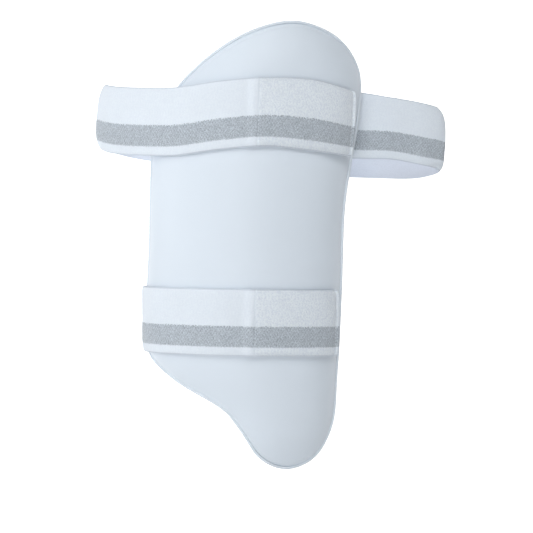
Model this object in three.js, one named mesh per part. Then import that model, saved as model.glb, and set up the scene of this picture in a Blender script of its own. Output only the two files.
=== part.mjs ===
// Cricket thigh guard: a curved foam pad in a smooth cover, piped along its front edge, and two wide
// terry elastic straps. Each strap is sewn to the right side of the pad, runs round the wearer and comes
// back across the pad's front, where a hook patch under its end holds it.
// Millimetres, +Z up, +X to the right as seen from the front, the pad's face towards -Y.
// The origin is the middle of the pad's inner face, where it sits on the thigh.

import * as THREE from "three";
import { mergeVertices } from "three/addons/utils/BufferGeometryUtils.js";

// Pad
const PAD_HEIGHT = 430;
const PAD_WIDTH = 190;
const PAD_THICKNESS = 24;
const RIM_THICKNESS = 12;
const RIM_BULGE = 2.5;
const CROWN_BAND = 42;

// How far half the pad's width turns round the leg, at the tongue, the middle and the hip lobe
const TONGUE_WRAP_DEG = 60;
const THIGH_WRAP_DEG = 54;
const HIP_WRAP_DEG = 38;

// How far the inner face lies back from the upright line, at the top of the lobe and the tongue's tip
const HIP_LEAN = 10;
const TONGUE_LEAN = 20;

// Piping, in a groove along the front edge
const PIPING_DIAMETER = 3;
const PIPING_SINK = 0.45;

// Gaps between pieces that rest on each other
const CLEARANCE = 0.3;
const FACE_CLEARANCE = 0.5;
const SEAM_CLEARANCE = 0.8;

// Straps, thickness over the terry pile
const STRAP_THICKNESS = 2.6;
const EDGE_ROUNDING = 1;
const HEM_INSET = 7;
const HEM_SLANT = 0.4; // share of the pad edge's own slant that a hem follows

// Where the straps' middles lie, as shares of the pad's height above its middle
const WAIST_STRAP_UP = 0.2745;
const THIGH_STRAP_UP = -0.165;

const WAIST_STRAP_WIDTH = 65;
const WAIST_STRAP_HEIGHT = WAIST_STRAP_UP * PAD_HEIGHT;
const WAIST_REACH_RIGHT = 195.4;
const WAIST_REACH_LEFT = 146.5;
const WAIST_LOOP_BACK = 130;
const WAIST_TURN_LEAN = 5.5;
const WAIST_EDGE_DRAW = 3;
const WAIST_LANDING_DEG = -28;
const WAIST_HOOK_LENGTH = 88;

const THIGH_STRAP_WIDTH = 63;
const THIGH_STRAP_HEIGHT = THIGH_STRAP_UP * PAD_HEIGHT;
const THIGH_STRAP_DROP = 6;
const THIGH_LOOP_BACK = 160;
const THIGH_LANDING_DEG = -50;
const THIGH_HOOK_LENGTH = 77;
const OVAL_TURNS_DEG = [12, 40, 65, 90, 115, 140, 168];

const SEAM_REACH = 6; // how far a strap runs straight out of its seam
const LANDING_STEP = 0.06; // share of the front run that sets the way a strap lands

// Hook patches under the strap ends
const HOOK_THICKNESS = 1.2;
const HOOK_MARGIN = 5;
const HOOK_RAMP = 8;

// Faces
const ROWS = 48;
const FACE_STEPS = 18;
const BACK_STEPS = 8;
const SIDE_STEPS = 4;
const PIPING_SIDES = 8;
const BAND_STEPS = 4;
const WAIST_LOOP_STEPS = 76;
const THIGH_LOOP_STEPS = 44;
const FRONT_STEPS = 28;
const HOOK_STEPS = 16;

// Finer steps per control point or face, from which even ones are taken
const OUTLINE_FINENESS = 24;
const LOOP_FINENESS = 8;

// The pad's outline from the front, clockwise from the top of the hip lobe.
// across: share of the pad's width, from its middle line. up: share of its height, from its middle.
const PAD_OUTLINE = [
  { across: 0.258, up: 0.5 },
  { across: 0.47, up: 0.467 },
  { across: 0.571, up: 0.409 },
  { across: 0.59, up: 0.349 },
  { across: 0.534, up: 0.196 },
  { across: 0.497, up: 0.088 },
  { across: 0.48, up: -0.098 },
  { across: 0.459, up: -0.288 },
  { across: 0.433, up: -0.409 },
  { across: 0.345, up: -0.477 },
  { across: 0.2, up: -0.5 },
  { across: 0.065, up: -0.476 },
  { across: -0.035, up: -0.414 },
  { across: -0.116, up: -0.369 },
  { across: -0.371, up: -0.302 },
  { across: -0.496, up: -0.251 },
  { across: -0.518, up: -0.195 },
  { across: -0.504, up: 0 },
  { across: -0.495, up: 0.167 },
  { across: -0.48, up: 0.256 },
  { across: -0.366, up: 0.349 },
  { across: -0.173, up: 0.429 },
  { across: 0.045, up: 0.482 },
];
const TONGUE_TIP = 10; // the outline's row at the tip of the tongue

// The waist strap at its seam: share of its width above its height, and share of its width.
const WAIST_SEAM = { rise: -0.02, width: 0.96 };

// The waist strap's free loop, from its seam on the pad's right side to where it lands on the front.
// side: share of the reach to that side. back: share of the loop's depth. rise: share of the strap's
// width above its height. lean: share of the slant that the strap takes at its left turn. draw: share of
// the edge draw, by which both edges turn tighter than the middle. width: share of the strap's width, which
// the pull of the elastic narrows.
const WAIST_LOOP = [
  { side: 0.72, back: 0.5, rise: -0.05, lean: 0, draw: 0, width: 0.94 },
  { side: 0.89, back: 0.555, rise: -0.133, lean: 0, draw: 0.3, width: 0.945 },
  { side: 1, back: 0.66, rise: -0.21, lean: 0, draw: 0.6, width: 0.925 },
  { side: 0.89, back: 0.775, rise: -0.29, lean: 0, draw: 0.3, width: 0.98 },
  { side: 0.62, back: 0.88, rise: -0.285, lean: 0, draw: 0, width: 0.98 },
  { side: 0.2, back: 1, rise: -0.2, lean: 0, draw: 0, width: 1 },
  { side: -0.32, back: 1, rise: -0.1, lean: 0.1, draw: 0, width: 1 },
  { side: -0.77, back: 0.88, rise: 0.03, lean: 0.4, draw: 0, width: 1 },
  { side: -0.96, back: 0.73, rise: 0.12, lean: 0.9, draw: 0.7, width: 0.97 },
  { side: -1, back: 0.56, rise: 0.14, lean: 1, draw: 1, width: 0.97 },
  { side: -0.89, back: 0.33, rise: 0.06, lean: 0.7, draw: 0.2, width: 1 },
  { side: -0.7, back: 0.13, rise: 0.01, lean: 0.3, draw: 0, width: 1 },
];

// How the waist strap arches over the pad's front, at even steps from its landing to its end.
const WAIST_ARCH = [
  { rise: -0.01, width: 1 },
  { rise: 0.07, width: 1 },
  { rise: 0.117, width: 1 },
  { rise: 0.08, width: 1.04 },
  { rise: -0.02, width: 0.97 },
];

// Colours
const COVER_WHITE = 0xe6edf5;
const PIPING_WHITE = 0xeef3f9;
const TERRY_WHITE = 0xe9eff7;
const HOOK_GREY = 0xc9ced6;

const { lerp, degToRad, clamp } = THREE.MathUtils;

// Curves and helpers

function polylineLengths(points) {
  const lengths = [0];
  for (let i = 1; i < points.length; i++) {
    lengths.push(lengths[i - 1] + points[i].distanceTo(points[i - 1]));
  }
  return lengths;
}

// The same line with points at equal steps along it.
function evenSteps(points, steps) {
  const lengths = polylineLengths(points);
  const total = lengths[lengths.length - 1];
  const even = [];
  let segment = 1;
  for (let k = 0; k <= steps; k++) {
    const target = (total * k) / steps;
    while (segment < points.length - 1 && lengths[segment] < target) segment++;
    const span = lengths[segment] - lengths[segment - 1];
    const share = clamp((target - lengths[segment - 1]) / span, 0, 1);
    even.push(points[segment - 1].clone().lerp(points[segment], share));
  }
  return even;
}

// A smooth value between the rows of a table that stand at even steps from 0 to 1.
function tableValue(rows, column, at) {
  const spline = new THREE.SplineCurve(rows.map((row, i) => new THREE.Vector2(i, row[column])));
  return spline.getPoint(at).y;
}

// Pad form

// Outer radius of the pad's edge round the leg: half the width turned through the wrap angle.
function edgeRadius(z) {
  const share = z / (PAD_HEIGHT / 2);
  const slope = (HIP_WRAP_DEG - TONGUE_WRAP_DEG) / 2;
  const bend = (HIP_WRAP_DEG + TONGUE_WRAP_DEG) / 2 - THIGH_WRAP_DEG;
  const wrap = THIGH_WRAP_DEG + slope * share + bend * share * share;
  return PAD_WIDTH / 2 / Math.sin(degToRad(wrap));
}

function innerRadius(z) {
  return edgeRadius(z) - RIM_THICKNESS;
}

function leanBack(z) {
  const share = z / (PAD_HEIGHT / 2);
  return (share > 0 ? HIP_LEAN : TONGUE_LEAN) * share * share;
}

// A point at an angle round the leg, a height, and a distance out from the pad's inner face.
function formPoint(angle, z, out) {
  const inner = innerRadius(z);
  const x = (inner + out) * Math.sin(angle);
  const y = leanBack(z) + inner - (inner + out) * Math.cos(angle);
  return new THREE.Vector3(x, y, z);
}

// The pad's edge, unrolled: x is the angle times this radius, y the height.
const FLAT_RADIUS = edgeRadius(0);

function outlineChains() {
  const controls = PAD_OUTLINE.map(
    ({ across, up }) => new THREE.Vector3(across * PAD_WIDTH, up * PAD_HEIGHT, 0),
  );
  const curve = new THREE.CatmullRomCurve3(controls, true, "centripetal");
  const fine = curve.getPoints(controls.length * OUTLINE_FINENESS);
  const flat = fine.map((p) => {
    const angle = Math.asin(p.x / edgeRadius(p.y));
    return new THREE.Vector3(angle * FLAT_RADIUS, p.y, 0);
  });
  const tip = TONGUE_TIP * OUTLINE_FINENESS;
  const right = evenSteps(flat.slice(0, tip + 1), ROWS);
  const left = evenSteps(flat.slice(tip), ROWS).reverse();
  return { right, left };
}

// Edge stations, clockwise from the top: right side down, then left side up. Each has its flat place, set
// in from the outline by the rim's bulge, and the flat direction that points out of the pad.
function edgeStations() {
  const { right, left } = outlineChains();
  const ring = [...right, ...left.slice(1, -1).reverse()];
  return ring.map((point, i) => {
    const before = ring[(i + ring.length - 1) % ring.length];
    const after = ring[(i + 1) % ring.length];
    const along = after.clone().sub(before).normalize();
    const out = new THREE.Vector3(-along.y, along.x, 0);
    const place = point.clone().addScaledVector(out, -RIM_BULGE);
    return { place, out };
  });
}

const EDGE = edgeStations();

function rightStation(row) {
  return EDGE[row];
}

function leftStation(row) {
  return EDGE[(EDGE.length - row) % EDGE.length];
}

// Distance from a flat point to the pad's edge.
function edgeDistance(x, y) {
  let least = Infinity;
  for (let i = 0; i < EDGE.length; i++) {
    const a = EDGE[i].place;
    const b = EDGE[(i + 1) % EDGE.length].place;
    const dx = b.x - a.x;
    const dy = b.y - a.y;
    const share = clamp(((x - a.x) * dx + (y - a.y) * dy) / (dx * dx + dy * dy), 0, 1);
    least = Math.min(least, Math.hypot(x - a.x - dx * share, y - a.y - dy * share));
  }
  return least;
}

// Foam thickness: full in the middle, falling to the rim's over the crown band.
function foamThickness(angle, z) {
  const share = Math.min(edgeDistance(angle * FLAT_RADIUS, z) / CROWN_BAND, 1);
  return lerp(RIM_THICKNESS, PAD_THICKNESS, 1 - (1 - share) * (1 - share));
}

// A point at an edge station: aside is how far it lies out past the edge, out its distance from the inner face.
function rimPoint(station, aside, out) {
  const angle = station.place.x / FLAT_RADIUS;
  const point = formPoint(angle, station.place.y, out);
  point.x += aside * station.out.x * Math.cos(angle);
  point.y += aside * station.out.x * Math.sin(angle);
  point.z += aside * station.out.y;
  return point;
}

// The right-hand edge station at a height, between the two nearest.
function rightEdgeAt(z) {
  let row = 1;
  while (row < ROWS - 1 && rightStation(row).place.y > z) row++;
  const above = rightStation(row - 1);
  const below = rightStation(row);
  const share = (above.place.y - z) / (above.place.y - below.place.y);
  return {
    place: above.place.clone().lerp(below.place, share),
    out: above.out.clone().lerp(below.out, share).normalize(),
  };
}

// The left-hand edge station at a height, taken as upright.
function leftEdgeAt(z) {
  let row = 1;
  while (row < ROWS - 1 && leftStation(row).place.y > z) row++;
  const above = leftStation(row - 1).place;
  const below = leftStation(row).place;
  const place = above.clone().lerp(below, (above.y - z) / (above.y - below.y));
  return { place, out: new THREE.Vector3(-1, 0, 0) };
}

// How far across the pad's right and left edges lie, seen from the front.
function rightEdgeAcross(z) {
  return edgeRadius(z) * Math.sin(rightEdgeAt(z).place.x / FLAT_RADIUS);
}

function leftEdgeAcross(z) {
  return edgeRadius(z) * Math.sin(leftEdgeAt(z).place.x / FLAT_RADIUS);
}

// The angle of a place on the pad's front, from how far across it lies.
function faceAngle(across, z) {
  return Math.asin(across / edgeRadius(z));
}

// Solids

// A closed solid from rings of points. Rings join one to the next, and the last to the first in a loop.
function skinSolid(rings, { loop = false, caps = false } = {}) {
  const sides = rings[0].length;
  const positions = rings.flat().flatMap((p) => [p.x, p.y, p.z]);
  const index = [];
  const spans = loop ? rings.length : rings.length - 1;
  for (let i = 0; i < spans; i++) {
    const next = (i + 1) % rings.length;
    for (let k = 0; k < sides; k++) {
      const a = i * sides + k;
      const b = i * sides + ((k + 1) % sides);
      const c = next * sides + ((k + 1) % sides);
      const d = next * sides + k;
      index.push(a, b, c, a, c, d);
    }
  }
  if (caps) {
    const last = (rings.length - 1) * sides;
    for (let k = 0; k < sides / 2; k++) {
      const near = [k, k + 1, sides - k - 1, (sides - k) % sides];
      const far = near.map((n) => last + n);
      index.push(near[2], near[1], near[0], near[3], near[2], near[0]);
      index.push(far[0], far[1], far[2], far[0], far[2], far[3]);
    }
  }
  const raw = new THREE.BufferGeometry();
  raw.setAttribute("position", new THREE.Float32BufferAttribute(positions, 3));
  raw.setIndex(index);
  const merged = mergeVertices(raw, 1e-3);
  merged.setIndex(withoutSlivers([...merged.index.array]));
  merged.computeVertexNormals();
  return merged;
}

function withoutSlivers(index) {
  const kept = [];
  for (let i = 0; i < index.length; i += 3) {
    const [a, b, c] = index.slice(i, i + 3);
    if (a !== b && b !== c && c !== a) kept.push(a, b, c);
  }
  return kept;
}

// A band from its middle surface, a grid of stations by steps across, thickened along its own normal,
// with both long edges rounded.
function bandSolid(grid, thickness) {
  const rings = grid.map((row, i) => {
    const before = grid[Math.max(i - 1, 0)];
    const after = grid[Math.min(i + 1, grid.length - 1)];
    const last = row.length - 1;
    const faces = row.map((point, j) => {
      const along = after[j].clone().sub(before[j]).normalize();
      const across = row[Math.min(j + 1, last)].clone().sub(row[Math.max(j - 1, 0)]).normalize();
      const normal = across.clone().cross(along).normalize();
      const inset = j === 0 ? EDGE_ROUNDING : j === last ? -EDGE_ROUNDING : 0;
      const middle = point.clone().addScaledVector(across, inset);
      return {
        outer: middle.clone().addScaledVector(normal, thickness / 2),
        inner: middle.clone().addScaledVector(normal, -thickness / 2),
      };
    });
    const outer = faces.map((f) => f.outer);
    const inner = faces.map((f) => f.inner).reverse();
    return [row[0].clone(), ...outer, row[last].clone(), ...inner];
  });
  return skinSolid(rings, { caps: true });
}

// Thigh pad

const GROOVE_STEP_DEG = 40;
const GROOVE_BOTTOM_DEG = 270;
const GROOVE_RADIUS = (PIPING_DIAMETER / 2 + CLEARANCE) / Math.cos(degToRad(GROOVE_STEP_DEG / 2));
const PIPING_OUT = RIM_THICKNESS - PIPING_SINK;

// The rim's section at a station, from the face's lip round the groove and the side to the inner face.
function rimSection(station) {
  const groove = [2, 1, 0].map((step) => {
    const turn = degToRad(GROOVE_BOTTOM_DEG - step * GROOVE_STEP_DEG);
    const aside = GROOVE_RADIUS * Math.cos(turn);
    return rimPoint(station, aside, PIPING_OUT + GROOVE_RADIUS * Math.sin(turn));
  });
  const wall = PIPING_OUT - GROOVE_RADIUS;
  const side = [];
  for (let k = 1; k <= SIDE_STEPS; k++) {
    const turn = (Math.PI * k) / SIDE_STEPS;
    side.push(rimPoint(station, RIM_BULGE * Math.sin(turn), (wall * (1 + Math.cos(turn))) / 2));
  }
  return [...groove, ...side];
}

// Steps from 0 to 1, closer together at both ends.
function edgeWeighted(steps) {
  return Array.from({ length: steps + 1 }, (_, k) => (1 - Math.cos((Math.PI * k) / steps)) / 2);
}

function padRow(row) {
  const left = leftStation(row);
  const right = rightStation(row);
  const lipLeft = left.place.clone().addScaledVector(left.out, -GROOVE_RADIUS);
  const lipRight = right.place.clone().addScaledVector(right.out, -GROOVE_RADIUS);
  const face = edgeWeighted(FACE_STEPS).map((share) => {
    const flat = lipRight.clone().lerp(lipLeft, share);
    const angle = flat.x / FLAT_RADIUS;
    return formPoint(angle, flat.y, foamThickness(angle, flat.y));
  });
  const back = [];
  for (let k = 1; k < BACK_STEPS; k++) {
    const flat = left.place.clone().lerp(right.place, k / BACK_STEPS);
    back.push(formPoint(flat.x / FLAT_RADIUS, flat.y, 0));
  }
  return [...face, ...rimSection(left), ...back, ...rimSection(right).reverse()];
}

function thighPad() {
  const rows = Array.from({ length: ROWS + 1 }, (_, row) => padRow(row));
  return skinSolid(rows);
}

// Edge piping

function edgePiping() {
  const rings = EDGE.map((station) =>
    Array.from({ length: PIPING_SIDES }, (_, k) => {
      const turn = (2 * Math.PI * k) / PIPING_SIDES;
      const aside = (PIPING_DIAMETER / 2) * Math.cos(turn);
      return rimPoint(station, aside, PIPING_OUT + (PIPING_DIAMETER / 2) * Math.sin(turn));
    }),
  );
  return skinSolid(rings, { loop: true });
}

// Straps

const ACROSS = Array.from({ length: BAND_STEPS + 1 }, (_, j) => j / BAND_STEPS - 0.5);

// A strap's run over the pad's front. along goes from its landing, 0, to its hem, 1; v is the share of
// its width above its middle.
function frontRun({ landing, height, width }) {
  const endZ = height(1);
  const lowZ = endZ - width(1) / 2;
  const lowHem = rightEdgeAcross(lowZ) - HEM_INSET;
  const start = edgeRadius(height(0)) * Math.sin(landing);
  const hem = (v) => {
    const slant = rightEdgeAcross(endZ + v * width(1)) - rightEdgeAcross(lowZ);
    return lowHem + HEM_SLANT * slant;
  };
  const place = (along, v) => {
    const z = height(along) + v * width(along);
    return { z, angle: faceAngle(lerp(start, hem(v), along), z) };
  };
  const foam = (along) =>
    Math.max(
      ...ACROSS.map((v) => {
        const { z, angle } = place(along, v);
        return foamThickness(angle, z);
      }),
    );
  const length = hem(0) - start;
  return { place, foam, length };
}

// How far a strap stands off the foam: close on the left, and over its hook patch near the end.
function standOff(toHem, hookLength) {
  const lifted = 1 - THREE.MathUtils.smoothstep(toHem, hookLength, hookLength + HOOK_RAMP);
  return FACE_CLEARANCE + lifted * (HOOK_THICKNESS + FACE_CLEARANCE);
}

// A strap's sewn start on the pad's side wall, or a point that far along its way out.
function seamStart(z, reach) {
  const wall = PIPING_OUT - GROOVE_RADIUS;
  return rimPoint(rightEdgeAt(z), RIM_BULGE + SEAM_CLEARANCE + reach, wall / 2);
}

// The middle surface of a strap: the free loop, then the stretch that lies on the pad's front.
function strapGrid({ run, hookLength, loopPoints, loopSteps }) {
  const frontPoint = (along, v) => {
    const { z, angle } = run.place(along, v);
    const off = standOff((1 - along) * run.length, hookLength);
    return formPoint(angle, z, run.foam(along) + off + STRAP_THICKNESS / 2);
  };
  const lines = ACROSS.map((v) => {
    const controls = [...loopPoints(v), frontPoint(0, v), frontPoint(LANDING_STEP, v)];
    const curve = new THREE.CatmullRomCurve3(controls, false, "centripetal");
    const stop = (controls.length - 2) / (controls.length - 1);
    const fineSteps = loopSteps * LOOP_FINENESS;
    const fine = Array.from({ length: fineSteps + 1 }, (_, k) => curve.getPoint((stop * k) / fineSteps));
    const front = Array.from({ length: FRONT_STEPS }, (_, k) => frontPoint((k + 1) / FRONT_STEPS, v));
    return [...evenSteps(fine, loopSteps), ...front];
  });
  return lines[0].map((_, i) => lines.map((line) => line[i]));
}

const WAIST_RUN = frontRun({
  landing: degToRad(WAIST_LANDING_DEG),
  height: (along) => WAIST_STRAP_HEIGHT + WAIST_STRAP_WIDTH * tableValue(WAIST_ARCH, "rise", along),
  width: (along) => WAIST_STRAP_WIDTH * tableValue(WAIST_ARCH, "width", along),
});

function waistLoopPoints(v) {
  const start = WAIST_STRAP_HEIGHT + (WAIST_SEAM.rise + v * WAIST_SEAM.width) * WAIST_STRAP_WIDTH;
  const towardEdge = Math.abs(2 * v) ** 3;
  const loop = WAIST_LOOP.map(({ side, back, rise, lean, draw, width }) => {
    const reach = side > 0 ? WAIST_REACH_RIGHT : WAIST_REACH_LEFT;
    const drawnIn = Math.sign(side) * draw * towardEdge * WAIST_EDGE_DRAW;
    const x = side * reach + lean * v * WAIST_TURN_LEAN - drawnIn;
    const z = WAIST_STRAP_HEIGHT + (rise + v * width) * WAIST_STRAP_WIDTH;
    return new THREE.Vector3(x, back * WAIST_LOOP_BACK, z);
  });
  return [seamStart(start, 0), seamStart(start, SEAM_REACH), ...loop];
}

function waistStrap() {
  const grid = strapGrid({
    run: WAIST_RUN,
    hookLength: WAIST_HOOK_LENGTH,
    loopPoints: waistLoopPoints,
    loopSteps: WAIST_LOOP_STEPS,
  });
  return bandSolid(grid, STRAP_THICKNESS);
}

const THIGH_RUN = frontRun({
  landing: degToRad(THIGH_LANDING_DEG),
  height: (along) => THIGH_STRAP_HEIGHT - (THIGH_STRAP_DROP / 2) * along,
  width: () => THIGH_STRAP_WIDTH,
});

// The thigh strap's free loop: close past the pad's right side, an oval round the back of the thigh, and
// over the piping on the pad's left edge, where it runs straight back, pulled flat across its width.
function thighLoopPoints(v) {
  const start = THIGH_STRAP_HEIGHT + THIGH_STRAP_DROP / 2 + v * THIGH_STRAP_WIDTH;
  const end = THIGH_STRAP_HEIGHT + v * THIGH_STRAP_WIDTH;
  const seam = seamStart(start, SEAM_REACH);
  const left = leftEdgeAt(end);
  const furthest = Math.min(...ACROSS.map((u) => leftEdgeAcross(end + (u - v) * THIGH_STRAP_WIDTH)));
  left.place.x = faceAngle(furthest, end) * FLAT_RADIUS;
  const overPiping = PIPING_DIAMETER / 2 + FACE_CLEARANCE + STRAP_THICKNESS / 2;
  const turn = -left.place.x / FLAT_RADIUS;
  const aside = overPiping * Math.cos(turn);
  const shoulder = rimPoint(left, aside, PIPING_OUT + overPiping * Math.sin(turn));
  const rightSide = seam.x + STRAP_THICKNESS / 2;
  const middle = (shoulder.x + rightSide) / 2;
  const half = (rightSide - shoulder.x) / 2;
  const side = shoulder.y + RIM_THICKNESS;
  const oval = OVAL_TURNS_DEG.map((deg) => {
    const x = middle + half * Math.cos(degToRad(deg));
    const y = side + (THIGH_LOOP_BACK - side) * Math.sin(degToRad(deg));
    return new THREE.Vector3(x, y, lerp(start, end, deg / 180));
  });
  return [seamStart(start, 0), seam, ...oval, shoulder];
}

function thighStrap() {
  const grid = strapGrid({
    run: THIGH_RUN,
    hookLength: THIGH_HOOK_LENGTH,
    loopPoints: thighLoopPoints,
    loopSteps: THIGH_LOOP_STEPS,
  });
  return bandSolid(grid, STRAP_THICKNESS);
}

// Hook patches

function hookPatch(run, strapWidth, hookLength) {
  const shareAcross = 1 - (2 * HOOK_MARGIN) / strapWidth;
  const from = 1 - hookLength / run.length;
  const to = 1 - HOOK_MARGIN / run.length;
  const grid = [];
  for (let k = 0; k <= HOOK_STEPS; k++) {
    const along = lerp(from, to, k / HOOK_STEPS);
    const out = run.foam(along) + FACE_CLEARANCE + HOOK_THICKNESS / 2;
    const row = ACROSS.map((v) => {
      const { z, angle } = run.place(along, v * shareAcross);
      return formPoint(angle, z, out);
    });
    grid.push(row);
  }
  return bandSolid(grid, HOOK_THICKNESS);
}

// Assembly

const COVER = new THREE.MeshStandardMaterial({ color: COVER_WHITE, roughness: 0.45, metalness: 0 });
const PIPING = new THREE.MeshStandardMaterial({ color: PIPING_WHITE, roughness: 0.55, metalness: 0 });
const TERRY = new THREE.MeshStandardMaterial({ color: TERRY_WHITE, roughness: 0.95, metalness: 0 });
const HOOK = new THREE.MeshStandardMaterial({ color: HOOK_GREY, roughness: 0.8, metalness: 0 });

function piece(name, geometry, material) {
  const mesh = new THREE.Mesh(geometry, material);
  mesh.name = name;
  return mesh;
}

const thighGuard = new THREE.Group();
thighGuard.name = "cricket_thigh_guard";
thighGuard.add(
  piece("thigh_pad", thighPad(), COVER),
  piece("edge_piping", edgePiping(), PIPING),
  piece("waist_strap", waistStrap(), TERRY),
  piece("thigh_strap", thighStrap(), TERRY),
  piece("waist_hook_patch", hookPatch(WAIST_RUN, WAIST_STRAP_WIDTH, WAIST_HOOK_LENGTH), HOOK),
  piece("thigh_hook_patch", hookPatch(THIGH_RUN, THIGH_STRAP_WIDTH, THIGH_HOOK_LENGTH), HOOK),
);

export default thighGuard;
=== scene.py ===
# %% [markdown]
# # A cricket thigh guard
#
# The real thing is a curved foam pad in a smooth white cover, with a piped edge, and two wide straps of
# terry elastic that close round the waist and the thigh. This lesson dresses the CAD solids of such a
# guard. The pad's cover is blown up gently by cloth simulation, so that it sits like sewn cloth over foam.
# The straps are made flat, as tape is, and then wrapped along the lines that their CAD solids give.

# %% Load the CAD frame
import math

import bmesh
import bpy
import numpy as np
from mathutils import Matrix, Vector, noise
from mathutils.bvhtree import BVHTree


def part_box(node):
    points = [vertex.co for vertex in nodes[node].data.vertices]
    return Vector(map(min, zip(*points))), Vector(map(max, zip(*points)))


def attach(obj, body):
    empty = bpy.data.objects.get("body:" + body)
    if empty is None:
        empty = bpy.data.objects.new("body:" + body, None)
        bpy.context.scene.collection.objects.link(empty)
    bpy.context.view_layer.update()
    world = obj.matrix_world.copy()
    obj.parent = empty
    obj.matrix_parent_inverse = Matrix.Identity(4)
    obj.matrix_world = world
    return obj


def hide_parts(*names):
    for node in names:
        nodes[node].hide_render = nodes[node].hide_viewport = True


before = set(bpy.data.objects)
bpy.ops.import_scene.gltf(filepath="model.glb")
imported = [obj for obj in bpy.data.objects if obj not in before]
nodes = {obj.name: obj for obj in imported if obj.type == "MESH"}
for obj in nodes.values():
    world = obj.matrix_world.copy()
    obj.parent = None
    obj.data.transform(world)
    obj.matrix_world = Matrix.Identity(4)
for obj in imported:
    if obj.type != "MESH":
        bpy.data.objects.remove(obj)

TURN = 2 * math.pi
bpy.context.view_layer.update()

# %% [markdown]
# ## Camera
#
# The photograph looks straight at the front from a couple of metres away, with a long lens. A distance
# sets the perspective, and the lens then follows from the width that the picture has to take in. A very
# small shift puts the guard as far off the picture's middle as it is in the photograph.

# %% Camera
PHOTO_SIDE = 533
METRES_PER_PIXEL = 0.0009534
CAMERA_DISTANCE = 2.0
SCALE_PLANE = 0.010  # where the scale was taken, a little behind the origin
SENSOR_WIDTH = 36
PIXELS_LEFT = 19.5  # how far the origin lies left of the picture's middle, and above it
PIXELS_UP = 21

bpy.ops.object.camera_add(location=(0, -CAMERA_DISTANCE, 0), rotation=(math.radians(90), 0, 0))
camera = bpy.context.object
camera.name = "front_camera"
picture_width = PHOTO_SIDE * METRES_PER_PIXEL
camera.data.sensor_width = SENSOR_WIDTH
camera.data.lens = SENSOR_WIDTH * (CAMERA_DISTANCE + SCALE_PLANE) / picture_width
camera.data.shift_x = PIXELS_LEFT / PHOTO_SIDE
camera.data.shift_y = -PIXELS_UP / PHOTO_SIDE
bpy.context.scene.camera = camera
print("lens", round(camera.data.lens, 1), "mm")

# %% [markdown]
# ## Small helpers
#
# Operators act on whatever is selected, and loading the frame leaves its nodes selected. So each step
# first selects just its own piece. Working on a copy of a CAD node starts by joining its loose triangles.

# %% Selecting, applying and copying
WELD_REACH = 1e-5


def select_only(*chosen):
    bpy.ops.object.select_all(action="DESELECT")
    for obj in chosen:
        obj.select_set(True)
    bpy.context.view_layer.objects.active = chosen[0]


def edit_all():
    """Edit mode, with the whole of the active mesh selected."""
    bpy.ops.object.mode_set(mode="EDIT")
    bpy.ops.mesh.select_all(action="SELECT")


def apply_modifier(obj, modifier):
    select_only(obj)
    bpy.ops.object.modifier_apply(modifier=modifier.name)


def shade_smooth(obj):
    select_only(obj)
    bpy.ops.object.shade_smooth()


def points_of(obj):
    places = np.zeros(len(obj.data.vertices) * 3)
    obj.data.vertices.foreach_get("co", places)
    return places.reshape(-1, 3)


def set_points(obj, places):
    obj.data.vertices.foreach_set("co", np.asarray(places, float).ravel())
    obj.data.update()


def merged_copy(node, name):
    copy = bpy.data.objects.new(name, nodes[node].data.copy())
    bpy.context.scene.collection.objects.link(copy)
    copy.data.materials.clear()
    select_only(copy)
    edit_all()
    bpy.ops.mesh.remove_doubles(threshold=WELD_REACH)
    bpy.ops.object.mode_set(mode="OBJECT")
    return copy


def remove(obj):
    mesh = obj.data
    bpy.data.objects.remove(obj)
    bpy.data.meshes.remove(mesh)


# %% [markdown]
# ## The seam line
#
# The cover's front and side panels meet at the piping, so the line of the piping is the pad's main seam.
# Its CAD solid is a row of small rings. The middle of each ring, taken in order, is the seam line.

# %% Read the piping's line
RING_REACH = 0.0045  # takes in one ring's points and none of the next


def ring_middles(node, reach):
    source = merged_copy(node, node + "_line")
    left = points_of(source)
    remove(source)
    middles = []
    while len(left):
        near = np.linalg.norm(left - left[0], axis=1) < reach
        middles.append(left[near].mean(0))
        left = left[~near]
    return np.array(middles)


def chained(places):
    """The same places in the order of a walk from each to the nearest one left."""
    order = [0]
    free = set(range(1, len(places)))
    while free:
        here = places[order[-1]]
        nearest = min(free, key=lambda i: np.linalg.norm(places[i] - here))
        order.append(nearest)
        free.remove(nearest)
    return places[order]


seam_line = chained(ring_middles("edge_piping", RING_REACH))
seam_steps = np.linalg.norm(np.roll(seam_line, -1, axis=0) - seam_line, axis=1)
seam_length = seam_steps.sum()
print("piping:", len(seam_line), "rings,", round(seam_length, 3), "m round the pad")


# %% Smooth places along a line of points
FINE_STEP = 0.1  # of a row
CHUNK = 2000  # places measured at one time


def catmull_rom(a, b, c, d, share):
    """Smooth places between b and c, a share of the way from b. Their neighbours are a and d."""
    return 0.5 * (
        2 * b
        + (c - a) * share
        + (2 * a - 5 * b + 4 * c - d) * share**2
        + (3 * b - 3 * c + d - a) * share**3
    )


def smooth_rows(rows, at, closed=False):
    """Catmull-Rom places between rows of points, at fractional row numbers."""
    count = len(rows)
    first = np.floor(at).astype(int)
    if not closed:
        first = np.clip(first, 0, count - 2)
    share = (at - first).reshape((-1,) + (1,) * (rows.ndim - 1))

    def row(i):
        if closed:
            return rows[i % count]
        inside = rows[np.clip(i, 0, count - 1)]
        before = np.expand_dims(2 * rows[0] - rows[1], 0)
        after = np.expand_dims(2 * rows[-1] - rows[-2], 0)
        shape = (-1,) + (1,) * (rows.ndim - 1)
        inside = np.where((i < 0).reshape(shape), before, inside)
        return np.where((i > count - 1).reshape(shape), after, inside)

    return catmull_rom(row(first - 1), row(first), row(first + 1), row(first + 2), share)


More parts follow.
